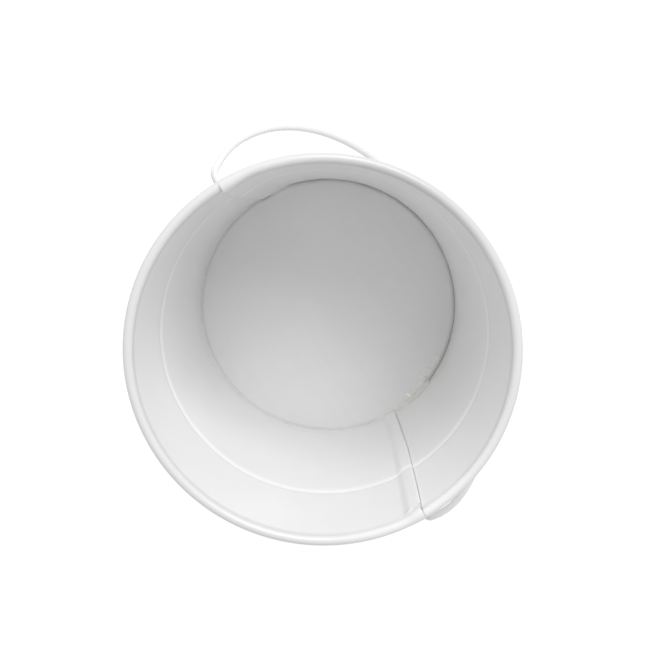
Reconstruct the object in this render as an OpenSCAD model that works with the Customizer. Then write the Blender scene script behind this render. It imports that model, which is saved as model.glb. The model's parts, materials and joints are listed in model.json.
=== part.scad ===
// Florist bucket: a tapered pail of two lock-seamed steel sheets with a wired rim,
// a recessed base, two pressed ears and a swinging wire bail.
// Millimetres, +Z up. The origin is the middle of the foot ring, on the floor.
// The ears are on X and the bail hangs on +Y.

/* [Overall] */
// Outside diameter over the rolled rim
rim_d = 240; // [220:1:300]
// Height from the floor to the top of the rolled rim
height = 191; // [150:1:240]
// Outside diameter of the foot ring
foot_d = 192; // [160:1:205]
// Thickness of the sheet steel of the walls and the base
sheet = 0.6; // [0.4:0.1:0.8]

/* [Rim] */
// Diameter of the wire inside the rolled rim
rim_wire_d = 4.8; // [4:0.1:6]
// Clearance between that wire and the roll
rim_wire_fit = 0.1; // [0.05:0.05:0.2]

/* [Swage bead] */
// Distance of the bead below the middle of the rolled rim
bead_drop = 68; // [45:1:90]
// Width of the bead along the wall
bead_w = 9.6; // [4:0.2:10]
// How far the bead stands out
bead_depth = 1.2; // [0.6:0.1:1.6]

/* [Base] */
// Height of the base's top face above the floor
recess = 8; // [7:0.5:15]
// Outside radius of the base's corner
corner_r = 3; // [2:0.5:4]
// Clearance between the base's flange and the hem round it
hem_fit = 0.05; // [0.05:0.05:0.15]

/* [Lock seams] */
// Width of each seam, from its joggle to its outer fold
seam_w = 9.6; // [8:0.2:14]
// Distance of the fold past the middle of the ear
seam_shift = 2; // [0:0.5:5]
// Gap between one layer of a seam and the next
seam_gap = 0.1; // [0.05:0.05:0.15]
// Gap between the ends of the two rolled rims, and between the folds in a seam
slit = 0.3; // [0.2:0.1:0.5]
// Angle by which the left seam falls short of straight across from the right one
seam_turn = 1.9; // [0:0.1:3]

/* [Ears] */
// Width of an ear's plate
ear_w = 34; // [28:1:44]
// Height of an ear's plate
ear_h = 22; // [20:1:26]
// Thickness of an ear's sheet
ear_sheet = 1.5; // [1:0.1:1.8]
// Outside diameter of the raised boss
boss_d = 15; // [14:0.5:16]
// Distance of the pivot below the middle of the rolled rim
pivot_drop = 13; // [13:0.5:16]

/* [Bail] */
// Diameter of the bail's wire
wire_d = 4.4; // [3.5:0.1:5]
// Clearance round the wire in an ear's hole
hole_fit = 0.4; // [0.3:0.1:0.6]
// Bend radius of the wire's middle line beside an ear
bend_r = 7; // [6:0.5:10]
// How far the widest place of the bail stands out past the rim
bail_side = 15; // [14:0.2:24]
// Distance from the pivot line to the widest place of the bail
shoulder = 44; // [30:1:55]
// Height of the bail's middle above the floor, when it hangs
rest_z = 17; // [12:1:50]
// Gap between the hanging bail and the wall
rest_gap = 0.5; // [0.3:0.1:1]

/* [Hidden] */
$fn = 96;

enamel = "whitesmoke";
steel = "silver";
sealant = "tan";

// Rolled rim: the middle of its wire, and the radius of the sheet's middle surface round it
roll_r = rim_wire_d / 2 + rim_wire_fit + sheet;
roll_mid_r = roll_r - sheet / 2;
roll_c = [rim_d / 2 - roll_r, height - roll_r];
roll_end = -135;
roll_steps = 30;

// Wall: a straight taper from the foot that meets the roll at a tangent
foot_mid = foot_d / 2 - sheet / 2;
taper = atan2(roll_c.x - foot_mid, roll_c.y)
    - asin(roll_mid_r / norm([roll_c.x - foot_mid, roll_c.y]));
wall_half = sheet / 2 / cos(taper);
bead_steps = 12;

// Base: its flange stands between the wall and the hem, which ends below the corner
flange_in = sheet + hem_fit;
hem_clear = 0.5;
hem_top = recess - corner_r - hem_clear;
base_mid_z = recess - sheet / 2;
corner_mid_r = corner_r - sheet / 2;
corner_steps = 9;
// The sealant stands this far below the base's top face, up to this angle of its corner
seal_drop = 0.8;
seal_step = 5;

// Lock seam: four layers, numbered inwards from 0, between its lower and upper ends
pitch = sheet + seam_gap;
layers_in = 3;
fold_y = seam_shift;
joggle_y = seam_shift - seam_w;
// The overlapping roll stands this far out past the other one
roll_over = 0.2;
over_shift = (layers_in * pitch - roll_over) / (1 + cos(taper));
over_c = roll_c - [over_shift, 0];
over_mid_r = roll_mid_r + over_shift + roll_over;
seam_low = recess + 0.4;
seam_high = over_c.y - over_mid_r - sheet / 2 - slit;
// Half of the angle that holds a whole seam or ear
end_angle = 12;
// The two cutting blocks of a wall overlap by this much inside the pail
overlap = 20;
// Gap between the two walls' edges on the outside of a seam
edge_gap = 0.2;

// Ears and the pivot line
pivot_z = roll_c.y - pivot_drop;
boss_tuck = 0.5;
boss_x = rim_d / 2 - boss_tuck;
boss_round = 1.5;
boss_start = foot_d / 2;
hole_d = wire_d + 2 * hole_fit;
ear_gap = 0.5;
ear_top = seam_high - ear_gap;
ear_corner = 5;
weld_r = 4;
weld_depth = 0.35;
weld_inset = 5;

// Bail: in its own plane X runs across and Y away from the pivot line
head_d = hole_d + 3;
head_h = 2.2;
head_gap = 0.4;
joint_lap = 0.3;
joint_step = 0.02;
head_x = boss_x - ear_sheet - head_gap - head_h;
stub_x = boss_x + 1;
side_x = rim_d / 2 + bail_side;
rest_y = wall_mid(rest_z) + wall_half + (wire_d / 2 + rest_gap) / cos(taper);
reach = norm([rest_y, pivot_z - rest_z]);
hang = atan2(pivot_z - rest_z, rest_y);
// The bail is four arcs a side: the bend, a lower and an upper side arc, and half the top
lower_r = bend_r
    + (pow(side_x - bend_r - stub_x, 2) + pow(shoulder - bend_r, 2))
    / (2 * (side_x - bend_r - stub_x));
rise = reach - shoulder;
upper_r = rise * rise / side_x;
top_r = side_x * (side_x + rise) / (2 * rise);
bend_end = atan2(bend_r - shoulder, stub_x - side_x + lower_r);
top_start = atan2(side_x * (2 * rise + side_x), 2 * rise * (side_x + rise));

far = rim_d;

function reversed(points) = [for (i = [len(points) - 1:-1:0]) points[i]];

function arc(centre, radius, from, to, steps) = [
    for (i = [0:steps])
        let (angle = from + (to - from) * i / steps)
        centre + radius * [cos(angle), sin(angle)]
];

// The unit normal on the right of the way from p to q
function side_normal(p, q) = [q.y - p.y, p.x - q.x] / norm(q - p);

// A line of points moved sideways by distance, with mitred corners
function moved_line(points, distance) = [
    for (i = [0:len(points) - 1])
        let (
            last = len(points) - 1,
            before = side_normal(points[max(i - 1, 0)], points[max(i, 1)]),
            after = side_normal(points[min(i, last - 1)], points[min(i + 1, last)])
        )
        points[i] + distance * (before + after) / (1 + before * after)
];

// The same line of points on another layer of a seam
function on_layer(points, layer) = [
    for (p = points) p - [layer * pitch / cos(taper), 0]
];

function wall_mid(z) = foot_mid + z * tan(taper);

function bead_points() = [
    for (i = [0:bead_steps])
        let (
            share = i / bead_steps,
            z = roll_c.y - bead_drop + bead_w * (share - 0.5),
            push = bead_depth * pow(sin(180 * share), 2)
        )
        [wall_mid(z) + push, z]
];

function wall_points(low, high) = concat(
    [[wall_mid(low), low]],
    bead_points(),
    [[wall_mid(high), high]]
);

function roll_points(centre, radius) =
    arc(centre, radius, 180 - taper, roll_end, roll_steps);

// From the top of the hem down, under the foot, up the wall and round the roll
function half_points() = concat(
    [
        [wall_mid(hem_top) - 2 * flange_in, hem_top],
        [wall_mid(sheet / 2) - 2 * flange_in, sheet / 2],
        [wall_mid(sheet / 2), sheet / 2]
    ],
    bead_points(),
    roll_points(roll_c, roll_mid_r)
);

function corner_c() = [
    wall_mid(base_mid_z - corner_mid_r) - flange_in - corner_mid_r / cos(taper),
    base_mid_z - corner_mid_r
];

// Up the flange, round the corner and in to the middle
function base_points() = concat(
    [[wall_mid(flange_in) - flange_in, flange_in]],
    arc(corner_c(), corner_mid_r, -taper, 90, corner_steps),
    [[0, base_mid_z]]
);

// The innermost layer of a seam, from its lower end up and round the overlapping roll
function over_points() = concat(
    on_layer([[wall_mid(seam_low), seam_low]], layers_in),
    on_layer(bead_points(), layers_in),
    roll_points(over_c, over_mid_r)
);

// Between the two walls' outer faces: up the outermost layer, round the roll and down inside
function joggle_points() = concat(
    moved_line(wall_points(seam_low, seam_high), sheet / 2),
    reversed([
        for (p = moved_line(over_points(), -sheet / 2))
            if (p.y < seam_high || p.y > over_c.y || p.x > wall_mid(p.y) + wall_half) p
    ])
);

// The cut face of a sheet that spans from one layer of a seam to another
module sheet_face(points, outer = 0, inner = 0) {
    polygon(concat(
        moved_line(on_layer(points, outer), sheet / 2),
        reversed(moved_line(on_layer(points, inner), -sheet / 2))
    ));
}

// Its children turned round the axis through a few degrees, cut to a strip beside +X
module strip(from_y, to_y) {
    intersection() {
        rotate([0, 0, -end_angle]) rotate_extrude(angle = 2 * end_angle) children();
        translate([0, from_y, 0]) cube([far, to_y - from_y, 2 * height]);
    }
}

module wall_strip(from_y, to_y, outer, inner) {
    strip(from_y, to_y) sheet_face(wall_points(seam_low, seam_high), outer, inner);
}

// The side of the pail on -Y, from the seam at +X to the one at an angle, without their folds
module plain_wall(seam_at) {
    intersection() {
        rotate([0, 0, 180 - end_angle])
            rotate_extrude(angle = 180 + 2 * end_angle) sheet_face(half_points());
        union() {
            translate([0, -far, -height])
                cube([far, far + joggle_y + sheet, 3 * height]);
            rotate([0, 0, seam_at]) {
                translate([-overlap, joggle_y + sheet + edge_gap, -height])
                    cube([far, far, height + seam_high]);
                translate([-overlap, fold_y + slit, seam_high])
                    cube([far, far, height]);
            }
        }
    }
}

// The end that lies inside the seam at +X: joggle, innermost layer with its roll, and fold
module inner_hook() {
    strip(joggle_y + sheet, fold_y) sheet_face(over_points());
    strip(joggle_y, joggle_y + sheet)
        difference() {
            polygon(joggle_points());
            translate(roll_c) circle(d = rim_wire_d + 2 * rim_wire_fit);
        }
    wall_strip(fold_y - sheet, fold_y, 1, layers_in);
    wall_strip(joggle_y + 2 * sheet + edge_gap + slit, fold_y, 1, 1);
}

// The end that lies outside the seam, shown at +X: its fold and its lip
module outer_hook() {
    wall_strip(joggle_y + sheet + edge_gap, joggle_y + 2 * sheet + edge_gap, 0, 2);
    wall_strip(joggle_y + sheet + edge_gap, fold_y - sheet - slit, 2, 2);
}

// From the inner end of the seam at +X round -Y to the outer end of the one at an angle
module half_wall(seam_at) {
    plain_wall(seam_at);
    inner_hook();
    rotate([0, 0, seam_at]) outer_hook();
}

module front_wall() {
    color(enamel) half_wall(180 - seam_turn);
}

module rear_wall() {
    color(enamel) rotate([0, 0, 180 - seam_turn]) half_wall(180 + seam_turn);
}

module base_disc() {
    color(enamel) rotate_extrude() sheet_face(base_points());
}

module rim_wire() {
    color(steel) rotate_extrude() translate(roll_c) circle(d = rim_wire_d);
}

// Fills the bottom of the groove between the wall and the base's corner
module joint_sealant() {
    corner = moved_line(base_points(), sheet / 2);
    low_z = corner[1].y;
    high_z = recess - seal_drop;
    color(sealant) rotate_extrude() polygon(concat(
        [
            [wall_mid(low_z) - wall_half, low_z],
            [wall_mid(high_z) - wall_half, high_z]
        ],
        [for (i = [seal_step:-1:1]) corner[i]]
    ));
}

module rounded_rect(size, radius) {
    square([size.x - 2 * radius, size.y], center = true);
    square([size.x, size.y - 2 * radius], center = true);
    for (x = [-1, 1], y = [-1, 1])
        translate([x * (size.x / 2 - radius), y * (size.y / 2 - radius)])
            circle(r = radius);
}

// The wall's outer face in section, moved out by a distance, from z = low up
function wall_face(low, out = 0) = [
    for (z = [low, height]) [wall_mid(z) + wall_half + out, z]
];

// A shape turned from its outline about the pivot line
module on_pivot() {
    translate([0, 0, pivot_z]) rotate([0, 90, 0]) rotate_extrude() children();
}

module boss_outline() {
    polygon(concat(
        [[0, boss_start], [boss_d / 2, boss_start]],
        arc([boss_d / 2 - boss_round, boss_x - boss_round], boss_round, 0, 90, 6),
        [[0, boss_x]]
    ));
}

// The plate, which lies on the wall's outer face
module ear_plate(low) {
    intersection() {
        rotate([0, 0, -end_angle]) rotate_extrude(angle = 2 * end_angle)
            polygon(concat(wall_face(low), reversed(wall_face(low, ear_sheet))));
        translate([0, 0, ear_top - ear_h / 2]) rotate([90, 0, 90])
            linear_extrude(far) rounded_rect([ear_w, ear_h], ear_corner);
    }
}

// The boss, which starts halfway through the plate
module boss(low) {
    difference() {
        on_pivot() boss_outline();
        rotate([0, 0, 180]) rotate_extrude()
            polygon(concat([[0, low]], wall_face(low, ear_sheet / 2), [[0, height]]));
    }
}

module ear() {
    low = ear_top - 2 * ear_h;
    plate_z = ear_top - ear_h / 2;
    weld_y = ear_w / 2 - weld_inset;
    weld_z = ear_h / 2 - weld_inset;
    difference() {
        union() {
            ear_plate(low);
            boss(low);
        }
        on_pivot() square([boss_d / 2 - ear_sheet, boss_x - ear_sheet]);
        on_pivot() square([hole_d / 2, far]);
        for (y = [-1, 1], z = [-1, 1]) {
            at_z = plate_z + z * weld_z;
            face_x = sqrt(pow(wall_mid(at_z) + wall_half + ear_sheet, 2) - pow(weld_y, 2));
            translate([face_x + weld_r - weld_depth, y * weld_y, at_z])
                sphere(r = weld_r);
        }
    }
}

module right_ear() {
    color(enamel) ear();
}

module left_ear() {
    color(enamel) mirror([1, 0, 0]) ear();
}

module wire_arc(centre, radius, from, to, thick = wire_d) {
    translate([centre.x, centre.y, 0]) rotate([0, 0, from])
        rotate_extrude(angle = to - from) translate([radius, 0]) circle(d = thick);
}

// An arc between two others: it laps into their ends and is a hair thinner than they are
module joining_arc(centre, radius, from, to) {
    lap = joint_lap / radius * 180 / PI;
    wire_arc(centre, radius, from - lap, to + lap, wire_d - 2 * joint_step);
}

// From the headed end in the ear to the start of the top arc
module bail_side_wire() {
    translate([head_x, 0, 0]) rotate([0, 90, 0]) {
        cylinder(d = head_d, h = head_h);
        cylinder(d = wire_d, h = stub_x - head_x);
    }
    joining_arc([stub_x, bend_r], bend_r, -90, bend_end);
    wire_arc([side_x - lower_r, shoulder], lower_r, bend_end, 0);
    joining_arc([side_x - upper_r, shoulder], upper_r, 0, top_start);
}

module bail_handle() {
    color(enamel) translate([0, 0, pivot_z]) rotate([-hang, 0, 0]) {
        bail_side_wire();
        mirror([1, 0, 0]) bail_side_wire();
        wire_arc([0, reach - top_r], top_r, top_start, 180 - top_start);
    }
}

front_wall();
rear_wall();
base_disc();
rim_wire();
right_ear();
left_ear();
bail_handle();
joint_sealant();
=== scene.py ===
"""Looks of the florist bucket: its sheet-metal walls, base, ears, bail and sealant, built as fine meshes
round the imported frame, with their enamel, steel and sealant materials, a studio floor, lights and a camera.

Shapes are worked out in millimetres in the CAD frame (+Z up, ears on X, bail hanging on +Y) and are turned
into metres when a mesh is made.
"""

import json
import math

import bmesh
import bpy
import numpy as np
from mathutils import Matrix, Vector


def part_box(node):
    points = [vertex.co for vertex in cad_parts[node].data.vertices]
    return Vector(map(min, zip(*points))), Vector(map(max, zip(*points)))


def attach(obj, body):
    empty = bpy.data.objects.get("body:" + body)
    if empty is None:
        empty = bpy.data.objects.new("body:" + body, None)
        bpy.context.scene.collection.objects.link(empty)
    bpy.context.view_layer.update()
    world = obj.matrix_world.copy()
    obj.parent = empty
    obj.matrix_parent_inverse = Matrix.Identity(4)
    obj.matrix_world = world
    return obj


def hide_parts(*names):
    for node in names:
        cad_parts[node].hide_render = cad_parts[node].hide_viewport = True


MM = 0.001
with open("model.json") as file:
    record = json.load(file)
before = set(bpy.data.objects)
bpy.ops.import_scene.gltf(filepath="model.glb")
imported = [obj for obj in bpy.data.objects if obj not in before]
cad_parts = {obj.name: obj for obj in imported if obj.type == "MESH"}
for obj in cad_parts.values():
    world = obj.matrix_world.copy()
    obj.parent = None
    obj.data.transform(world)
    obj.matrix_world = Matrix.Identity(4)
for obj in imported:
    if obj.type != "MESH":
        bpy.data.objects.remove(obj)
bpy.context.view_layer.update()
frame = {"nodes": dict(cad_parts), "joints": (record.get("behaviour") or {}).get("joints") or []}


def frame_box(node):
    """Lowest and highest corner of a CAD node, in millimetres."""
    low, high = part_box(node)
    return np.array(low) / MM, np.array(high) / MM


# ---------------------------------------------------------------- sizes, in millimetres

wire_low, wire_high = frame_box("rim_wire")
bail_low, bail_high = frame_box("bail_handle")
ear_low, ear_high = frame_box("right_ear")

# Sheet, rolled rim and wall
SHEET = 0.6
ROLL_FIT = 0.1
RIM_WIRE_R = (wire_high[2] - wire_low[2]) / 2
ROLL_C = np.array([wire_high[0] - RIM_WIRE_R, wire_low[2] + RIM_WIRE_R])
ROLL_MID_R = RIM_WIRE_R + ROLL_FIT + SHEET / 2
ROLL_END = math.radians(-135)
FOOT_MID = 95.7
TAPER = (math.atan2(ROLL_C[0] - FOOT_MID, ROLL_C[1])
         - math.asin(ROLL_MID_R / math.hypot(ROLL_C[0] - FOOT_MID, ROLL_C[1])))
WALL_HALF = SHEET / 2 / math.cos(TAPER)
CUT_ROUND = 0.14
# The sheet's slow waves: their depth, then each one's share of it, waves to the turn, phases and height
WAVE = 0.10
WAVES = ((1, 3, 1, 60), (0.6, 7, -2, -35), (0.35, 17, 3, 18))

# Swage bead
BEAD_DROP = 68
BEAD_W = 9.6
BEAD_DEPTH = 1.2
BEAD_SKEW = 2.2

# Base and hem
RECESS = frame_box("base_disc")[1][2]
CORNER_MID_R = 2.7
FLANGE_IN = 0.65
FLANGE_LOW = 1.2
HEM_TOP = 4.5
HEM_Z = SHEET / 2 + FLANGE_IN
BASE_BOW = 0.22
BOW_FADE = 45
SEAM_DENT = 1.1
DENT_REACH = 9
DENT_HALF_TURN = math.radians(4.5)
LIP_OUT = 1.3

# Lock seams: layers are numbered inwards from 0, and Y runs across the seam at +X
PITCH = 0.7 / math.cos(TAPER)
FOLD_R = 0.7
FOLD_LONG = 2.1
PAINT_FILL = 0.9
LAYERS_IN = 3
FOLD_Y = 2.0
SLIT = 0.3
RIM_SLIT = 0.1
JOGGLE_FROM = -11.2
JOGGLE_TO = -4.4
SOFT_JOGGLE_FROM = -19.0
SEAM_TURN = math.radians(1.9)
INNER_LIP_END = -4.5
OUTER_FOLD_Y = -5.8
OUTER_LIP_END = 0.6
OUTER_START = 10.0
JOGGLE_PAST = 0.4
SEAM_MIDDLE_Y = -3.4
FOOT_END_INNER = -7.05
FOOT_END_OUTER = -6.8
SEAM_LOW = RECESS + 0.4
SEAM_HIGH = 183.5
ROW_GAP = 0.15
# How far the hand-closed fold and joggle stray along Y, at each height
LEAN_Z = (SEAM_LOW, 24, 60, 90, 126, 155, SEAM_HIGH)
FOLD_LEAN = (0, 0.4, 1.4, 1.9, 1.4, 1.0, 0.3)
JOGGLE_LEAN = (0, 2.2, 2.9, 2.5, 1.5, 1.0, 0.4)
ROLL_OVER = 0.2
OVER_SHIFT = (LAYERS_IN * 0.7 - ROLL_OVER) / (1 + math.cos(TAPER))

# Ears and the pivot line
PIVOT_Z = frame["joints"][0]["pos_m"][2] / MM
EAR_SHEET = 1.5
EAR_W = ear_high[1] - ear_low[1]
EAR_TOP = ear_high[2]
EAR_H = EAR_TOP - ear_low[2]
EAR_CORNER = 5
EAR_ROUND = 0.3
BOSS_X = ear_high[0]
BOSS_R = 7.5
BOSS_ROUND = 0.9
BOSS_FILLET = 1.2
HOLE_R = 2.6
WELD_INSET = 5
WELD_DEPTH = 0.35
WELD_R = 2.0

# Bail
BAIL_R = 2.2
BEND_R = 7
SHOULDER = 44
HEAD_R = 4.1
HEAD_H = 2.2
HEAD_ROUND = 0.5
HEAD_NECK = 0.25
HEAD_GAP = 0.4
HEAD_X = BOSS_X - EAR_SHEET - HEAD_GAP - HEAD_H
STUB_X = BOSS_X + 1
SIDE_X = bail_high[0] - BAIL_R
REST_Y = bail_high[1] - BAIL_R
REST_Z = bail_low[2] + BAIL_R

# How finely the meshes are divided: rows up the wall, points round its curves, and columns round the pieces
HEM_POINTS, FOOT_ROWS, LOWER_ROWS, BEAD_ROWS, UPPER_ROWS, NECK_ROWS = 10, 5, 30, 25, 19, 5
FOLD_POINTS, ROLL_POINTS = 13, 44
LIP_COLUMNS, FLAT_COLUMNS, JOGGLE_COLUMNS, FILLET_COLUMNS, LAP_COLUMNS = 4, 12, 17, 24, 8
PLAIN_COLUMNS = 150
BASE_COLUMNS, DISC_RINGS, CORNER_POINTS = 241, 34, 12
SEALANT_COLUMNS, GROOVE_POINTS, LUMP_COLUMNS, LUMP_POINTS = 361, 7, 281, 25
EAR_COLUMNS, EAR_CURVE_POINTS, PLATE_RINGS = 145, 7, 27
WIRE_SIDES = 28


def wall_mid(z):
    """Radius of the wall's middle surface at a height, without its bead."""
    return FOOT_MID + z * math.tan(TAPER)


def smooth(t):
    """Smooth step from 0 to 1 as t goes from 0 to 1."""
    t = np.clip(t, 0, 1)
    return t * t * (3 - 2 * t)


def turned(radius, azimuth, z):
    """Points at a radius, azimuth and height."""
    return np.stack([radius * np.cos(azimuth), radius * np.sin(azimuth), z + 0 * azimuth], axis=-1)


# ---------------------------------------------------------------- meshes

def grid_quads(keep):
    """Quads of a grid of points, only for the cells that are kept."""
    rows, columns = keep.shape[0] + 1, keep.shape[1] + 1
    index = np.arange(rows * columns).reshape(rows, columns)
    quads = np.stack([index[:-1, :-1], index[:-1, 1:], index[1:, 1:], index[1:, :-1]], axis=-1)
    return quads[keep]


def make_piece(name, points, quads, **marks):
    """A mesh object from points in millimetres. Points that no quad uses go, and doubles are merged."""
    points = points.reshape(-1, 3)
    used, quads = np.unique(quads, return_inverse=True)
    mesh = bpy.data.meshes.new(name)
    mesh.from_pydata((points[used] * MM).tolist(), [], quads.reshape(-1, 4).tolist())
    for mark, values in marks.items():
        attribute = mesh.attributes.new(mark, "FLOAT", "POINT")
        attribute.data.foreach_set("value", values.reshape(-1)[used].astype(np.float32))
    shape = bmesh.new()
    shape.from_mesh(mesh)
    bmesh.ops.remove_doubles(shape, verts=shape.verts, dist=0.002 * MM)
    bmesh.ops.recalc_face_normals(shape, faces=shape.faces)
    for face in shape.faces:
        face.smooth = True
    shape.to_mesh(mesh)
    shape.free()
    piece = bpy.data.objects.new(name, mesh)
    bpy.context.scene.collection.objects.link(piece)
    return piece


def thicken(piece, thickness, edge_round):
    """Gives a sheet its thickness, half to each side, and a radius on its cut edges."""
    solid = piece.modifiers.new("thickness", "SOLIDIFY")
    solid.thickness = thickness * MM
    solid.offset = 0
    solid.use_even_offset = True
    bevel = piece.modifiers.new("edges", "BEVEL")
    bevel.width = edge_round * MM
    bevel.segments = 2
    bevel.limit_method = "ANGLE"
    bevel.angle_limit = math.radians(50)
    bevel.harden_normals = True


def place(piece, material, body, node):
    """Gives a piece its material and body, and lets it stand for a CAD node."""
    piece.data.materials.append(material)
    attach(piece, body)
    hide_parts(node)


# ---------------------------------------------------------------- walls

# Zones of the wall's rows, and of the joints between them
FOOT, SEAM, RIM = "f", "s", "r"
LOW_JOINT, HIGH_JOINT = "l", "h"
ALL_ZONES = FOOT + LOW_JOINT + SEAM + HIGH_JOINT + RIM


def wall_rows():
    """Rows of the sheet, from the hem's top to the roll's end.

    Each is (zone, radius, height, angle round the roll).
    """
    rows = [(FOOT, wall_mid(z) - 2 * FLANGE_IN, z, None) for z in (HEM_TOP, HEM_TOP / 2, HEM_Z)]
    for angle in np.linspace(math.pi, 2 * math.pi, HEM_POINTS)[1:]:
        radius = wall_mid(HEM_Z) - FLANGE_IN + FLANGE_IN * math.cos(angle)
        rows.append((FOOT, radius, HEM_Z + FLANGE_IN * math.sin(angle), None))
    rows += [(FOOT, wall_mid(z), z, None) for z in np.linspace(HEM_Z, SEAM_LOW - ROW_GAP, FOOT_ROWS)[1:]]
    bead_low = ROLL_C[1] - BEAD_DROP - BEAD_W / 2
    rows += [(SEAM, wall_mid(z), z, None) for z in np.linspace(SEAM_LOW + ROW_GAP, bead_low, LOWER_ROWS)]
    for share in np.linspace(0, 1, BEAD_ROWS)[1:]:
        z = bead_low + BEAD_W * share
        push = BEAD_DEPTH * math.sin(math.pi * share ** BEAD_SKEW) ** 2
        rows.append((SEAM, wall_mid(z) + push, z, None))
    bead_high = bead_low + BEAD_W
    above_bead = np.linspace(bead_high, SEAM_HIGH - ROW_GAP, UPPER_ROWS)[1:]
    rows += [(SEAM, wall_mid(z), z, None) for z in above_bead]
    roll_start = ROLL_C[1] + ROLL_MID_R * math.sin(TAPER)
    neck = np.linspace(SEAM_HIGH + ROW_GAP, roll_start, NECK_ROWS)[:-1]
    rows += [(RIM, wall_mid(z), z, None) for z in neck]
    rows += [(RIM, 0, 0, angle) for angle in np.linspace(math.pi - TAPER, ROLL_END, ROLL_POINTS)]
    return rows


def column(y, layer, zones, rim_y=None, foot_y=None):
    """One column beside a seam: its Y and layer, and the zones in which the cells after it are kept."""
    return {"y": y, "layer": layer, "zones": zones,
            "rim_y": y if rim_y is None else rim_y,
            "foot_y": y if foot_y is None else foot_y}


def joggle_share(y, joggle_from):
    """How far the sheet has stepped inwards at Y: 0 on the plain wall, 1 on the innermost layer."""
    return float(smooth((y - joggle_from) / (JOGGLE_TO - joggle_from)))


def seam_lean(y, z):
    """How far a seam strays along Y, from the joggle's share of it to the fold's."""
    share = smooth((y - JOGGLE_TO) / (FOLD_Y - JOGGLE_TO))
    fold, joggle = np.interp(z, LEAN_Z, FOLD_LEAN), np.interp(z, LEAN_Z, JOGGLE_LEAN)
    return joggle + (fold - joggle) * share


def inner_columns(joggle_from):
    """Columns of the end that lies inside a seam, from its lip to the plain wall."""
    edge = FOLD_Y - SHEET / 2
    centre = edge - FOLD_LONG
    lip = np.linspace(INNER_LIP_END, edge - FOLD_R, LIP_COLUMNS)[:-1]
    columns = [column(y, 1, SEAM) for y in lip]
    for angle in np.linspace(-90, 90, FOLD_POINTS)[:-1]:
        open_share = max(angle, 0) / 90
        zones = SEAM if angle < -1 else SEAM + HIGH_JOINT + RIM
        length = FOLD_LONG if angle > 0 else FOLD_R
        columns.append(column(edge - length * (1 - math.cos(math.radians(angle))),
                              2 + math.sin(math.radians(angle)), zones,
                              rim_y=FOLD_Y + (centre - FOLD_Y) * open_share))
    for y in np.linspace(centre, JOGGLE_TO, FLAT_COLUMNS)[:-1]:
        columns.append(column(y, LAYERS_IN, SEAM + HIGH_JOINT + RIM))
    joggle = list(np.linspace(JOGGLE_TO, joggle_from, JOGGLE_COLUMNS)[:-1]) + [FOOT_END_INNER]
    for y in sorted(joggle, reverse=True):
        zones = SEAM + HIGH_JOINT + RIM + (FOOT if y <= FOOT_END_INNER else "")
        columns.append(column(y, LAYERS_IN * joggle_share(y, joggle_from), zones))
    return columns


def outer_columns():
    """Columns of the end that lies outside a seam, from the plain wall to its lip."""
    edge = FOLD_Y + SLIT
    columns = [column(y, PAINT_FILL * math.exp((edge - y) / FOLD_R), ALL_ZONES)
               for y in np.linspace(OUTER_START, edge, FILLET_COLUMNS)[:-1]]
    lap_ys = np.linspace(edge, OUTER_FOLD_Y, LAP_COLUMNS)[:-1]
    lap = [column(y, 0, FOOT + LOW_JOINT + SEAM) for y in lap_ys]
    lap[0]["rim_y"] = FOLD_Y + RIM_SLIT
    columns += lap
    columns.append(column(OUTER_FOLD_Y, 0, FOOT + SEAM))
    for angle in np.linspace(90, 270, FOLD_POINTS)[1:]:
        columns.append(column(OUTER_FOLD_Y + FOLD_R * math.cos(math.radians(angle)),
                              1 - math.sin(math.radians(angle)), SEAM, foot_y=FOOT_END_OUTER))
    lip = np.linspace(OUTER_FOLD_Y, OUTER_LIP_END, LIP_COLUMNS)[1:]
    columns += [column(y, 2, SEAM) for y in lip]
    return columns


def wall_wave(azimuth, z, phase):
    """Slow waviness of the hand-worked sheet, which fades out at the foot and at the roll."""
    fade = np.sin(math.pi * np.clip(z / SEAM_HIGH, 0, 1))
    waves = 0
    for share, turns, phases, height in WAVES:
        waves = waves + share * np.sin(turns * azimuth + phases * phase + z / height)
    return WAVE * fade * waves


# How far wear reaches from a cut edge, and the foot's wear and how high it reaches
EDGE_WEAR_REACH = 0.35
FOOT_WEAR, FOOT_WEAR_REACH = 0.7, 1.2
# The height above the seam's end in which the rim's painted shade comes in
RIM_SHADE_REACH = 4


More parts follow.
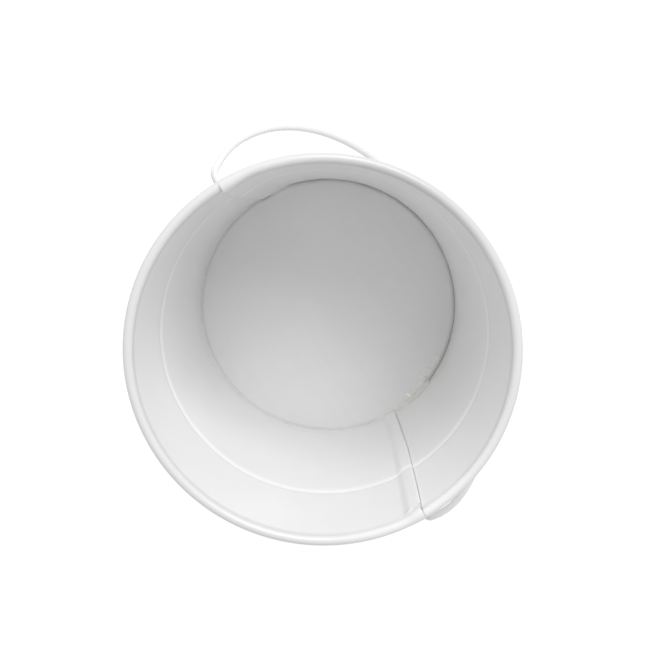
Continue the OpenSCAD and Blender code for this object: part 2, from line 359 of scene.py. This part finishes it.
def half_wall(phase, joggle_from, outer_turn):
    """Half of the pail: its inner hook at +X, its plain wall round -Y and its outer hook at a turn."""
    rows, inner, outer = wall_rows(), inner_columns(joggle_from), outer_columns()
    main = np.linspace(0, 1, PLAIN_COLUMNS)[:-1]
    zones = [c["zones"] for c in inner] + [ALL_ZONES] * len(main) + [c["zones"] for c in outer]
    points = np.zeros((len(rows), len(zones), 3))
    wear, handled = np.zeros(points.shape[:2]), np.zeros(points.shape[:2])
    edge_y = np.array([c["rim_y"] for c in inner])
    for i, (zone, radius, z, angle) in enumerate(rows):
        key = {FOOT: "foot_y", SEAM: "y", RIM: "rim_y"}[zone]
        layers = np.array([c["layer"] if zone == SEAM else 0 for c in inner + outer])
        y = np.array([c[key] for c in inner + outer])
        if zone == SEAM:
            y = y + seam_lean(y, z)
        if zone == RIM:
            rim_share = smooth((edge_y - joggle_from) / (FOLD_Y - joggle_from))
            band_share = np.array([joggle_share(v, joggle_from) for v in edge_y])
            rise = 1 if angle is not None else smooth((z - SEAM_HIGH) / (ROLL_C[1] - SEAM_HIGH))
            share = np.append(band_share + (rim_share - band_share) * rise, np.zeros(len(outer)))
            layers = LAYERS_IN * share
            rubbed = 1 if angle is None else math.cos(angle) ** 2
            # painted shade: the rim is darkened over the roll, fading in up the neck
            handled[i] = smooth((z - SEAM_HIGH) / RIM_SHADE_REACH) if angle is None else 1
            wear[i, :len(inner)] = rubbed * np.exp(-(FOLD_Y - edge_y) / EDGE_WEAR_REACH)
            from_fold = np.abs(y[len(inner):] - FOLD_Y)
            wear[i, len(inner) + len(main):] = rubbed * np.exp(-from_fold / EDGE_WEAR_REACH)
        if angle is None:
            reach = radius - layers * PITCH
            height = np.full(len(y), z)
        else:
            roll_r = ROLL_MID_R + (OVER_SHIFT + ROLL_OVER) * share
            reach = ROLL_C[0] - OVER_SHIFT * share + roll_r * math.cos(angle)
            height = ROLL_C[1] + roll_r * math.sin(angle)
        if zone == FOOT:
            wear[i] = FOOT_WEAR * math.exp(-z / FOOT_WEAR_REACH)
        inner_az = np.arcsin(y[:len(inner)] / reach[:len(inner)])
        outer_az = np.arcsin(y[len(inner):] / reach[len(inner):]) - outer_turn
        plain = reach[-1] if zone != SEAM else radius
        start = math.asin((y[len(inner) - 1] - JOGGLE_PAST) / plain)
        end = math.asin((y[len(inner)] + JOGGLE_PAST) / plain) - outer_turn
        azimuth = np.concatenate([inner_az, start + (end - start) * main, outer_az])
        n_in, n_main = len(inner), len(main)
        reach = np.concatenate([reach[:n_in], np.full(n_main, plain), reach[n_in:]])
        level = height[-1]
        height = np.concatenate([height[:n_in], np.full(n_main, level), height[n_in:]])
        points[i] = turned(reach + wall_wave(azimuth, height, phase), azimuth, height)
    row_zones = [r[0] for r in rows]
    joints = {FOOT + SEAM: LOW_JOINT, SEAM + RIM: HIGH_JOINT}
    between = [a if a == b else joints[a + b] for a, b in zip(row_zones, row_zones[1:])]
    keep = np.array([[letter in z for z in zones[:-1]] for letter in between])
    return points, grid_quads(keep), wear, handled


# How much painted shade darkens the rim's paint all round, then where it is darker or lighter, darkest
# towards the key light: azimuth and reach in degrees, and how much
RIM_SHADE_ALL_ROUND = 0.45
RIM_SHADE_PATCHES = ((118, 35, 0.5), (0, 28, -0.27))


def rim_shade_share(azimuth):
    """How much of the painted shade's darker tone the rim's paint has at an azimuth."""
    share = RIM_SHADE_ALL_ROUND
    for middle, reach, more in RIM_SHADE_PATCHES:
        away = np.degrees(np.angle(np.exp(1j * (azimuth - math.radians(middle)))))
        share = share + more * np.exp(-(away / reach) ** 2)
    return share


def build_walls(material):
    """The two halves, with waves of their own. The rear one's seam at -X is closed more softly."""
    halves = (("front_wall", 0, 0.4, JOGGLE_FROM, math.pi + SEAM_TURN),
              ("rear_wall", math.pi - SEAM_TURN, 2.1, SOFT_JOGGLE_FROM, math.pi - SEAM_TURN))
    for node, turn, phase, joggle_from, outer_turn in halves:
        points, quads, wear, handled = half_wall(phase, joggle_from, outer_turn)
        points = points @ np.array(Matrix.Rotation(turn, 3, "Z")).T
        # painted shade on the rim, heaviest on the key light's side
        handled = handled * rim_shade_share(np.arctan2(points[..., 1], points[..., 0]))
        piece = make_piece(node + "_sheet", points, quads, wear=wear, handled=handled)
        thicken(piece, SHEET, CUT_ROUND)
        place(piece, material, "pail", node)


# ---------------------------------------------------------------- base and sealant

CORNER_Z = RECESS - SHEET / 2 - CORNER_MID_R
CORNER_X = wall_mid(CORNER_Z) - FLANGE_IN - CORNER_MID_R / math.cos(TAPER)


def seam_nearness(azimuth):
    """1 at the middle of either seam, falling to 0 a few degrees away."""
    nearness = 0
    for turn in (0, math.pi - SEAM_TURN):
        middle = turn + math.asin(SEAM_MIDDLE_Y / CORNER_X)
        away = np.abs((azimuth - middle + math.pi) % (2 * math.pi) - math.pi)
        nearness = nearness + np.exp(-(away / DENT_HALF_TURN) ** 4)
    return nearness


def build_base(material):
    """The base sheet: a slightly bowed disc, its rounded corner and the flange that stands in the hem."""
    azimuth = np.linspace(0, 2 * math.pi, BASE_COLUMNS)
    rings = [(r, RECESS - SHEET / 2) for r in np.linspace(0, CORNER_X, DISC_RINGS)[:-1]]
    for angle in np.linspace(math.pi / 2, -TAPER, CORNER_POINTS):
        rings.append((CORNER_X + CORNER_MID_R * math.cos(angle), CORNER_Z + CORNER_MID_R * math.sin(angle)))
    rings += [(wall_mid(z) - FLANGE_IN, z) for z in (HEM_TOP, FLANGE_LOW)]
    points = []
    for radius, z in rings:
        fade = smooth((CORNER_X - radius) / BOW_FADE)
        x, y = radius * np.cos(azimuth), radius * np.sin(azimuth)
        bow = np.sin(x / 31 + 0.7) * np.cos(y / 37 - 0.4) + 0.5 * np.sin((x + y) / 19)
        edge = smooth((radius - CORNER_X + DENT_REACH) / DENT_REACH) * smooth((z - HEM_TOP) / 2)
        dent = SEAM_DENT * edge * seam_nearness(azimuth)
        points.append(turned(radius - dent, azimuth, z + BASE_BOW * fade * bow))
    keep = np.ones((len(rings) - 1, len(azimuth) - 1), bool)
    piece = make_piece("base_sheet", np.array(points), grid_quads(keep))
    thicken(piece, SHEET, CUT_ROUND)
    place(piece, material, "pail", "base_disc")


# Where the groove round the base was left open, in degrees, with the stretch in which it closes at each end
OPEN_FROM, OPEN_TO = 22, 169
CLOSING_FROM, CLOSING_TO = 2, 6
# The sealant's top there and elsewhere, its underside, its top's sag, and how far it beds into the sheet
OPEN_TOP, FILLED_TOP = 6.0, 7.45
SEALANT_LOW = 5.0
SEALANT_SAG = 0.25
SEALANT_BED = 0.05

# The smeared lumps: azimuth in degrees, how far each reaches in over the disc and up the wall, its height,
# and 1 where it also lies over the groove
SEALANT_LUMPS = (
    (44, 0.4, 0, 0.1, 0), (41, 4.0, 0, 0.35, 0), (36, 5.0, 0, 0.5, 0), (31, 4.4, 0, 0.5, 0),
    (27, 5.6, 0, 0.55, 0), (23.2, 6.4, 0, 0.6, 0), (22.5, 7.8, 0.8, 2.3, 0.6), (21.7, 8.4, 3.0, 2.9, 1),
    (20.8, 5.6, 4.8, 1.0, 1), (18, 4.4, 5.2, 0.5, 1), (12, 3.4, 4.6, 0.5, 1), (10, 4.8, 3.0, 1.0, 1),
    (8.2, 2.4, 2.4, 0.6, 1), (2, 1.6, 1.6, 0.5, 1), (-5, 1.4, 1.2, 0.4, 1), (-9, 0.5, 0.3, 0.1, 1),
)


def sealant_ring():
    """The sealant all round the groove: deep down where it was left open, near the top elsewhere."""
    azimuth = np.linspace(-math.pi, math.pi, SEALANT_COLUMNS)
    degrees = np.degrees(azimuth)
    filled = 1 - smooth((degrees - OPEN_FROM) / CLOSING_FROM) * smooth((OPEN_TO - degrees) / CLOSING_TO)
    waver = 0.10 * np.sin(5 * azimuth + 1) + 0.06 * np.sin(13 * azimuth) + 0.04 * np.sin(37 * azimuth)
    top = OPEN_TOP + (FILLED_TOP - OPEN_TOP) * filled + waver
    corner_r = CORNER_MID_R + SHEET / 2 - SEALANT_BED
    angle = np.arcsin((top - CORNER_Z) / corner_r)
    outline = []
    for share in np.linspace(0, 1, GROOVE_POINTS):
        corner_x = CORNER_X + corner_r * np.cos(angle)
        wall_x = wall_mid(top) - WALL_HALF + SEALANT_BED
        outline.append(turned(corner_x + (wall_x - corner_x) * share, azimuth,
                              top - SEALANT_SAG * math.sin(math.pi * share)))
    low = np.full(len(azimuth), SEALANT_LOW)
    outline.append(turned(wall_mid(low) - WALL_HALF + SEALANT_BED, azimuth, low))
    outline.append(turned(wall_mid(low) - FLANGE_IN + 0.1, azimuth, low))
    outline.append(outline[0])
    points = np.array(outline)
    keep = np.ones((points.shape[0] - 1, points.shape[1] - 1), bool)
    return points, grid_quads(keep)


# The smear: the share of its width that lies on the wall, and the degrees in which its ends thin out
ON_WALL = 0.4
END_FADE = 4


def sealant_film():
    """The smeared lumps that lap over the disc's edge and up the wall, as a skin with sunk ends."""
    lumps = np.array(SEALANT_LUMPS[::-1])
    degrees = np.linspace(lumps[0, 0], lumps[-1, 0], LUMP_COLUMNS)
    azimuth = np.radians(degrees)
    reach, climb, height, across = (np.interp(degrees, lumps[:, 0], lumps[:, k]) for k in (1, 2, 3, 4))
    reach = reach * (1 + 0.10 * np.sin(degrees * 1.9) + 0.05 * np.sin(degrees * 5.3 + 1))
    climb = climb * (1 + 0.12 * np.sin(degrees * 1.3 + 2) + 0.06 * np.sin(degrees * 4.1))
    edge = smooth((degrees - degrees[0]) / END_FADE) * smooth((degrees[-1] - degrees) / END_FADE)
    lip_x = CORNER_X + LIP_OUT
    lip_z = CORNER_Z + math.sqrt((CORNER_MID_R + SHEET / 2) ** 2 - LIP_OUT ** 2)
    top, under = [], []
    for share in np.linspace(0, 1, LUMP_POINTS):
        up = smooth((ON_WALL - share) / ON_WALL)
        over = max(share - ON_WALL, 0) / (1 - ON_WALL)
        z_out = lip_z + (RECESS + 0.2 + climb * up - lip_z) * across
        x_out = lip_x + (wall_mid(z_out) - WALL_HALF - lip_x) * across
        x_in = CORNER_X + 0.8 - reach * over
        mix = smooth((share - 0.2) / 0.3)
        x = x_out + (x_in - x_out) * mix
        z = z_out + (RECESS - z_out) * mix
        skin = math.sin(math.pi * share) ** 0.6
        bumps = 1 + 0.18 * np.sin(degrees * 2.7 + 6 * share) + 0.12 * np.sin(degrees * 0.9 - 9 * share)
        thick = height * edge * skin * bumps * (0.4 + 0.6 * math.exp(-((share - 0.5) / 0.2) ** 2))
        thick = thick - 0.12 * (1 - skin) - 0.15 * (1 - edge)
        top.append(turned(x - thick * (1 - mix) * across, azimuth, z + thick * mix))
        under.append(turned(x + 0.25 * (1 - mix) * across, azimuth, z - 0.35 * mix - 0.1))
    points = np.array(top + under[::-1] + top[:1])
    keep = np.ones((points.shape[0] - 1, points.shape[1] - 1), bool)
    return points, grid_quads(keep)


def build_sealant(material):
    """The ring and the lumps as one piece."""
    ring, ring_quads = sealant_ring()
    film, film_quads = sealant_film()
    points = np.concatenate([ring.reshape(-1, 3), film.reshape(-1, 3)])
    quads = np.concatenate([ring_quads, film_quads + ring.reshape(-1, 3).shape[0]])
    piece = make_piece("sealant_bead", points, quads)
    place(piece, material, "pail", "joint_sealant")


# ---------------------------------------------------------------- ears

def plate_x(y, z, out):
    """X of the ear plate at Y and Z, as far out from the wall's outer face as asked."""
    return np.sqrt((wall_mid(z) + WALL_HALF + out) ** 2 - y ** 2)


def plate_outline(azimuth):
    """Distance from the pivot line to the plate's rounded outline, in each direction."""
    middle = EAR_TOP - EAR_H / 2 - PIVOT_Z
    outline = []
    for corner in range(4):
        side_y, side_z = (1, -1, -1, 1)[corner], (1, 1, -1, -1)[corner]
        for angle in np.linspace(0, math.pi / 2, 12) + corner * math.pi / 2:
            outline.append((side_y * (EAR_W / 2 - EAR_CORNER) + EAR_CORNER * math.cos(angle),
                            middle + side_z * (EAR_H / 2 - EAR_CORNER) + EAR_CORNER * math.sin(angle)))
    outline = np.array(outline + outline[:1])
    fine = np.linspace(0, 1, 40)[:-1]
    dense = np.concatenate([a + (b - a) * fine[:, None] for a, b in zip(outline, outline[1:])])
    direction = np.arctan2(dense[:, 1], dense[:, 0])
    order = np.argsort(direction)
    distance = np.hypot(dense[:, 0], dense[:, 1])
    return np.interp(azimuth, direction[order], distance[order], period=2 * math.pi)


def ear_points():
    """Rings of the ear's middle surface, from the hole over the boss to the plate's edge."""
    azimuth = np.linspace(-math.pi, math.pi, EAR_COLUMNS)
    half = EAR_SHEET / 2
    top_x = BOSS_X - half
    mid_r = BOSS_R - half
    rings = [(r, top_x) for r in np.linspace(HOLE_R, mid_r - BOSS_ROUND, 5)[:-1]]
    for angle in np.linspace(0, math.pi / 2, EAR_CURVE_POINTS):
        rings.append((mid_r - BOSS_ROUND + BOSS_ROUND * math.sin(angle),
                      top_x - BOSS_ROUND * (1 - math.cos(angle))))
    points = []
    for r, x in rings:
        y, z = r * np.cos(azimuth), PIVOT_Z + r * np.sin(azimuth)
        points.append(np.stack([np.full(len(azimuth), x), y, z], axis=-1))
    foot_r = mid_r + BOSS_FILLET
    for angle in np.linspace(0, math.pi / 2, EAR_CURVE_POINTS):
        r = mid_r + BOSS_FILLET * (1 - math.cos(angle))
        y, z = r * np.cos(azimuth), PIVOT_Z + r * np.sin(azimuth)
        points.append(np.stack([plate_x(y, z, half) + BOSS_FILLET * (1 - math.sin(angle)), y, z], axis=-1))
    outer = plate_outline(azimuth)
    weld_y, weld_z = EAR_W / 2 - WELD_INSET, EAR_H / 2 - WELD_INSET
    for share in np.linspace(0, 1, PLATE_RINGS)[1:]:
        r = foot_r + (outer - foot_r) * share
        y, z = r * np.cos(azimuth), PIVOT_Z + r * np.sin(azimuth)
        away_y, away_z = np.abs(y) - weld_y, np.abs(z - EAR_TOP + EAR_H / 2) - weld_z
        dent = WELD_DEPTH * smooth(1 - np.hypot(away_y, away_z) / WELD_R)
        points.append(np.stack([plate_x(y, z, half) - dent, y, z], axis=-1))
    return np.array(points)


def build_ears(material):
    """The two pressed ears, one the mirror image of the other."""
    points = ear_points()
    keep = np.ones((points.shape[0] - 1, points.shape[1] - 1), bool)
    for node, side in (("right_ear", 1), ("left_ear", -1)):
        piece = make_piece(node + "_pressing", points * np.array([side, 1, 1]), grid_quads(keep))
        thicken(piece, EAR_SHEET, EAR_ROUND)
        place(piece, material, "pail", node)


# ---------------------------------------------------------------- bail

def arc_points(centre, radius, start, end, count):
    """Points along an arc, without its first one."""
    angles = np.linspace(start, end, count + 1)[1:]
    return [(centre[0] + radius * math.cos(a), centre[1] + radius * math.sin(a)) for a in angles]


def bail_line():
    """The wire's middle line in the bail's own plane, from the right head to the left one."""
    reach = math.hypot(REST_Y, PIVOT_Z - REST_Z)
    rise = reach - SHOULDER
    side = SIDE_X - BEND_R - STUB_X
    lower_r = BEND_R + (side ** 2 + (SHOULDER - BEND_R) ** 2) / (2 * side)
    upper_r = rise * rise / SIDE_X
    top_r = SIDE_X * (SIDE_X + rise) / (2 * rise)
    bend_end = math.atan2(BEND_R - SHOULDER, STUB_X - SIDE_X + lower_r)
    top_start = math.atan2(SIDE_X * (2 * rise + SIDE_X), 2 * rise * (SIDE_X + rise))
    half = [(HEAD_X + HEAD_H + 0.2, 0), (BOSS_X, 0), (STUB_X, 0)]
    half += arc_points((STUB_X, BEND_R), BEND_R, -math.pi / 2, bend_end, 12)
    half += arc_points((SIDE_X - lower_r, SHOULDER), lower_r, bend_end, 0, 16)
    half += arc_points((SIDE_X - upper_r, SHOULDER), upper_r, 0, top_start, 30)
    half += arc_points((0, reach - top_r), top_r, top_start, math.pi / 2, 44)
    return half + [(-x, v) for x, v in half[-2::-1]]


def head_profile():
    """The upset head: (distance in from its outer face's middle, radius)."""
    profile = [(0, 0.0), (0, HEAD_R - HEAD_ROUND)]
    for angle in np.linspace(0, math.pi / 2, 5)[1:]:
        profile.append((HEAD_ROUND * (1 - math.cos(angle)), HEAD_R - HEAD_ROUND * (1 - math.sin(angle))))
    for angle in np.linspace(0, math.pi / 2, 5):
        profile.append((HEAD_H - HEAD_ROUND * (1 - math.sin(angle)),
                        HEAD_R - HEAD_ROUND * (1 - math.cos(angle))))
    profile += [(HEAD_H, BAIL_R + HEAD_NECK), (HEAD_H + HEAD_NECK, BAIL_R)]
    return profile


def build_bail(material):
    """The wire of the bail with its two heads, swept along its line and hung at rest."""
    line = np.array(bail_line())
    heads = head_profile()
    centres = [(HEAD_X + along, 0) for along, _ in heads] + line[1:-1].tolist()
    centres += [(-HEAD_X - along, 0) for along, _ in heads[::-1]]
    radii = [r for _, r in heads] + [BAIL_R] * (len(line) - 2) + [r for _, r in heads[::-1]]
    centres = np.array(centres)
    way = np.gradient(centres, axis=0)
    way[:len(heads)] = (1, 0)
    way[-len(heads):] = (1, 0)
    way /= np.linalg.norm(way, axis=1)[:, None]
    across = np.stack([-way[:, 1], way[:, 0]], axis=-1)
    hang = math.atan2(PIVOT_Z - REST_Z, REST_Y)
    down = np.array([0, math.cos(hang), -math.sin(hang)])
    side = np.array([0, math.sin(hang), math.cos(hang)])
    points = []
    for angle in np.linspace(0, 2 * math.pi, WIRE_SIDES + 1):
        ring = centres + across * (np.array(radii) * math.cos(angle))[:, None]
        out = np.array(radii)[:, None] * math.sin(angle) * side
        points.append(ring[:, :1] * np.array([1, 0, 0]) + ring[:, 1:] * down + out + [0, 0, PIVOT_Z])
    keep = np.ones((len(points) - 1, len(centres) - 1), bool)
    piece = make_piece("bail_wire", np.array(points), grid_quads(keep))
    place(piece, material, "bail", "bail_handle")


# ---------------------------------------------------------------- materials

# How much of the paint's whiteness is left where the rolled rim is darkened with painted shade
RIM_SHADE_TONE = 0.62
# The same for the outside of the walls, darkened as painted shade to about as grey as the fittings, so the
# brightly lit outside doesn't go white
OUTSIDE_SHADE_TONE = 0.8


def add(tree, kind, settings=None, **inputs):
    """A node with its settings, and each input set to a number or linked to a socket."""
    node = tree.nodes.new(kind)
    for key, value in (settings or {}).items():
        setattr(node, key, value)
    for key, value in inputs.items():
        socket = node.inputs[key.replace("_", " ")]
        if isinstance(value, bpy.types.NodeSocket):
            tree.links.new(value, socket)
        else:
            socket.default_value = value
    return node


def new_material(name):
    """An empty node material: itself, its tree, its shader and the object coordinates."""
    material = bpy.data.materials.new(name)
    material.use_nodes = True
    tree = material.node_tree
    tree.nodes.clear()
    shader = add(tree, "ShaderNodeBsdfPrincipled")
    output = add(tree, "ShaderNodeOutputMaterial")
    tree.links.new(shader.outputs["BSDF"], output.inputs["Surface"])
    coords = add(tree, "ShaderNodeTexCoord").outputs["Object"]
    return material, tree, shader, coords


def noise(tree, coords, scale, detail=2.0, roughness=0.5):
    """A noise texture's value; scale is its features to the metre."""
    return add(tree, "ShaderNodeTexNoise", Vector=coords, Scale=scale, Detail=detail,
               Roughness=roughness).outputs["Fac"]


def spread(tree, value, low, high, to_low, to_high):
    """A value mapped from one range to another, clamped."""
    node = add(tree, "ShaderNodeMapRange", Value=value)
    for index, number in zip((1, 2, 3, 4), (low, high, to_low, to_high)):
        node.inputs[index].default_value = number
    return node.outputs["Result"]


def mixed(tree, share, first, second):
    """A colour between two others."""
    return add(tree, "ShaderNodeMixRGB", Fac=share, Color1=first, Color2=second).outputs["Color"]


def times(tree, first, second):
    """The product of two values."""
    node = add(tree, "ShaderNodeMath", {"operation": "MULTIPLY"})
    for index, value in enumerate((first, second)):
        if isinstance(value, bpy.types.NodeSocket):
            tree.links.new(value, node.inputs[index])
        else:
            node.inputs[index].default_value = value
    return node.outputs[0]


def grey(value, warm=0.0):
    """An opaque near-neutral colour."""
    return (value * (1 + warm), value, value * (1 - warm), 1)


def specks(tree, coords, per_metre, size, share):
    """Sparse round specks: 1 inside a speck, 0 elsewhere."""
    cells = add(tree, "ShaderNodeTexVoronoi", Vector=coords, Scale=per_metre)
    dot = spread(tree, cells.outputs["Distance"], size, size * 0.5, 0, 1)
    chosen = spread(tree, noise(tree, coords, per_metre / 7, 0), 0.5 + share, 0.52 + share, 0, 1)
    return times(tree, dot, chosen)


def outwardness(tree, coords):
    """1 where a surface faces away from the pail's axis, 0 where it faces up, down or inwards."""
    level = add(tree, "ShaderNodeVectorMath", {"operation": "MULTIPLY"})
    tree.links.new(coords, level.inputs[0])
    level.inputs[1].default_value = (1, 1, 0)
    away = add(tree, "ShaderNodeVectorMath", {"operation": "NORMALIZE"}, Vector=level.outputs["Vector"])
    facing_away = add(tree, "ShaderNodeVectorMath", {"operation": "DOT_PRODUCT"})
    tree.links.new(away.outputs["Vector"], facing_away.inputs[0])
    tree.links.new(add(tree, "ShaderNodeNewGeometry").outputs["True Normal"], facing_away.inputs[1])
    return spread(tree, facing_away.outputs["Value"], 0.5, 0.95, 0, 1)


def enamel(name, tone, dull, streaks=0.0, outside=1.0):
    """White paint: mottled tone and gloss, orange peel, rare specks, and bare metal on worn edges.

    Its tone falls to a share of itself on outward-facing surfaces, as painted shade, and to the rim's shade
    tone where a mesh is marked with the rim's painted shade.
    """
    material, tree, shader, coords = new_material(name)
    clouds = noise(tree, coords, 14, 3, 0.55)
    colour = mixed(tree, spread(tree, clouds, 0.35, 0.65, 0, 1), grey(tone * 0.975), grey(tone * 1.01))
    gloss = noise(tree, coords, 55, 5, 0.6)
    if streaks:
        turn = add(tree, "ShaderNodeMapping", Vector=coords, Rotation=(0, 0, math.radians(-19)),
                   Scale=(3, 170, 1))
        lines = noise(tree, turn.outputs["Vector"], 1.0, 4, 0.6)
        colour = mixed(tree, spread(tree, lines, 0.4, 0.75, 0, streaks), colour, grey(tone * 0.8))
    dots = specks(tree, coords, 38, 0.018, 0.06)
    colour = mixed(tree, times(tree, dots, 0.55), colour, grey(0.25, 0.05))
    # painted shade: surfaces facing away from the axis are darkened to the outside tone
    colour = add(tree, "ShaderNodeMixRGB", {"blend_type": "MULTIPLY"}, Fac=outwardness(tree, coords),
                 Color1=colour, Color2=grey(outside)).outputs["Color"]
    # painted shade: the marked rim is mixed towards a darker tone
    handled = add(tree, "ShaderNodeAttribute", {"attribute_name": "handled"}).outputs["Fac"]
    colour = mixed(tree, handled, colour, grey(tone * RIM_SHADE_TONE))
    wear = add(tree, "ShaderNodeAttribute", {"attribute_name": "wear"}).outputs["Fac"]
    chips = spread(tree, noise(tree, coords, 900, 3, 0.6), 0.5, 0.6, 0, 1)
    worn = times(tree, spread(tree, wear, 0.3, 0.9, 0, 1), chips)
    colour = mixed(tree, worn, colour, grey(0.22, 0.04))
    tree.links.new(colour, shader.inputs["Base Color"])
    tree.links.new(spread(tree, gloss, 0.3, 0.7, dull - 0.06, dull + 0.07), shader.inputs["Roughness"])
    shader.inputs["Coat Weight"].default_value = 0.25
    shader.inputs["Coat Roughness"].default_value = 0.12
    peel = add(tree, "ShaderNodeBump", Height=noise(tree, coords, 420, 2, 0.5), Strength=0.35,
               Distance=0.00006)
    dents = add(tree, "ShaderNodeBump", Height=noise(tree, coords, 45, 2, 0.5), Strength=0.5,
                Distance=0.0004, Normal=peel.outputs["Normal"])
    tree.links.new(dents.outputs["Normal"], shader.inputs["Normal"])
    return material


def drawn_steel(name):
    """Bare wire, with fine draw marks and a little dulling."""
    material, tree, shader, coords = new_material(name)
    marks = noise(tree, coords, 700, 4, 0.7)
    stain = noise(tree, coords, 60, 3, 0.6)
    colour = mixed(tree, spread(tree, stain, 0.4, 0.7, 0, 1), (0.56, 0.56, 0.57, 1), (0.36, 0.33, 0.30, 1))
    tree.links.new(colour, shader.inputs["Base Color"])
    shader.inputs["Metallic"].default_value = 1
    tree.links.new(spread(tree, marks, 0.3, 0.7, 0.28, 0.5), shader.inputs["Roughness"])
    bump = add(tree, "ShaderNodeBump", Height=marks, Strength=0.4, Distance=0.00003)
    tree.links.new(bump.outputs["Normal"], shader.inputs["Normal"])
    return material


def dried_sealant(name):
    """Lacquer-like sealant, a little brown, with a wet gloss and streaks that are darker."""
    material, tree, shader, coords = new_material(name)
    body = noise(tree, coords, 160, 4, 0.6)
    colour = mixed(tree, spread(tree, body, 0.35, 0.7, 0, 1), (0.83, 0.825, 0.805, 1), (0.74, 0.73, 0.70, 1))
    tree.links.new(colour, shader.inputs["Base Color"])
    tree.links.new(spread(tree, body, 0.3, 0.7, 0.10, 0.2), shader.inputs["Roughness"])
    shader.inputs["Coat Weight"].default_value = 0.6
    shader.inputs["Coat Roughness"].default_value = 0.06
    bump = add(tree, "ShaderNodeBump", Height=noise(tree, coords, 260, 3, 0.5), Strength=0.6,
               Distance=0.0002)
    tree.links.new(bump.outputs["Normal"], shader.inputs["Normal"])
    return material


def studio_floor(name):
    """Paper that glows near white, as an overexposed sweep does, and takes only faint shadows."""
    material, tree, shader, coords = new_material(name)
    fibre = noise(tree, coords, 300, 3, 0.6)
    colour = mixed(tree, fibre, grey(0.10), grey(0.12))
    tree.links.new(colour, shader.inputs["Base Color"])
    shader.inputs["Roughness"].default_value = 0.9
    shader.inputs["Emission Color"].default_value = (1, 1, 1, 1)
    shader.inputs["Emission Strength"].default_value = FLOOR_GLOW
    return material


# ---------------------------------------------------------------- studio, in metres

FLOOR_SIZE = 40
FLOOR_GLOW = 0.93
WORLD_STRENGTH = 0.655
KEY_POWER = 16.6
KEY_AZIMUTH = 131
KEY_HEIGHT = 45
KEY_DISTANCE = 1.6
KEY_SIZE = 1.1
CAMERA_AT = Vector((-0.1090, 0.0846, 0.8640))
CAMERA_AIM = Vector((-0.0146, 0.0110, 0.1880))
CAMERA_UP_AZIMUTH = 148.5
CAMERA_LENS = 63.7


def facing(at, aim, up):
    """A matrix that puts something at a point, looking at another, with a direction that shows upwards."""
    back = (at - aim).normalized()
    right = up.cross(back).normalized()
    turn = Matrix((right, back.cross(right), back)).transposed()
    return Matrix.Translation(at) @ turn.to_4x4()


def build_floor():
    """A plain pale floor, which isn't part of the object."""
    mesh = bpy.data.meshes.new("floor")
    half = FLOOR_SIZE / 2
    corners = [(-half, -half, 0), (half, -half, 0), (half, half, 0), (-half, half, 0)]
    mesh.from_pydata(corners, [], [(0, 1, 2, 3)])
    floor = bpy.data.objects.new("floor", mesh)
    bpy.context.scene.collection.objects.link(floor)
    mesh.materials.append(studio_floor("floor_paper"))


def build_key_light():
    """One large round soft light, on the bail's side and towards the left ear."""
    light = bpy.data.lights.new("key", "AREA")
    light.shape = "DISK"
    light.size = KEY_SIZE
    light.energy = KEY_POWER
    lamp = bpy.data.objects.new("key", light)
    bpy.context.scene.collection.objects.link(lamp)
    azimuth, height = math.radians(KEY_AZIMUTH), math.radians(KEY_HEIGHT)
    level = Vector((math.cos(azimuth), math.sin(azimuth), 0))
    way = math.cos(height) * level + Vector((0, 0, math.sin(height)))
    aim = Vector((0, 0, PIVOT_Z * MM / 2))
    lamp.matrix_world = facing(aim + KEY_DISTANCE * way, aim, Vector((0, 0, 1)))


def build_world():
    """An even white surround."""
    world = bpy.data.worlds.new("surround")
    world.use_nodes = True
    background = world.node_tree.nodes["Background"]
    background.inputs["Color"].default_value = (1, 1, 1, 1)
    background.inputs["Strength"].default_value = WORLD_STRENGTH
    bpy.context.scene.world = world


def build_camera():
    """The view down into the mouth, a little from the side of the bail."""
    camera = bpy.data.objects.new("camera", bpy.data.cameras.new("camera"))
    camera.data.lens = CAMERA_LENS
    bpy.context.scene.collection.objects.link(camera)
    azimuth = math.radians(CAMERA_UP_AZIMUTH)
    up = Vector((math.cos(azimuth), math.sin(azimuth), 0))
    camera.matrix_world = facing(CAMERA_AT, CAMERA_AIM, up)
    bpy.context.scene.camera = camera


build_camera()
wall_paint = enamel("wall_paint", tone=0.90, dull=0.34, outside=OUTSIDE_SHADE_TONE)
base_paint = enamel("base_paint", tone=0.80, dull=0.46, streaks=0.08)
# painted shade: the fittings' white is toned down so the bail and ears don't go white in the bright light
fitting_paint = enamel("fitting_paint", tone=0.74, dull=0.30)
build_walls(wall_paint)
build_base(base_paint)
build_sealant(dried_sealant("sealant"))
build_ears(fitting_paint)
build_bail(fitting_paint)
frame["nodes"]["rim_wire"].data.materials.clear()
frame["nodes"]["rim_wire"].data.materials.append(drawn_steel("rim_wire_steel"))
build_floor()
build_key_light()
build_world()
bpy.context.scene.view_settings.view_transform = "Standard"
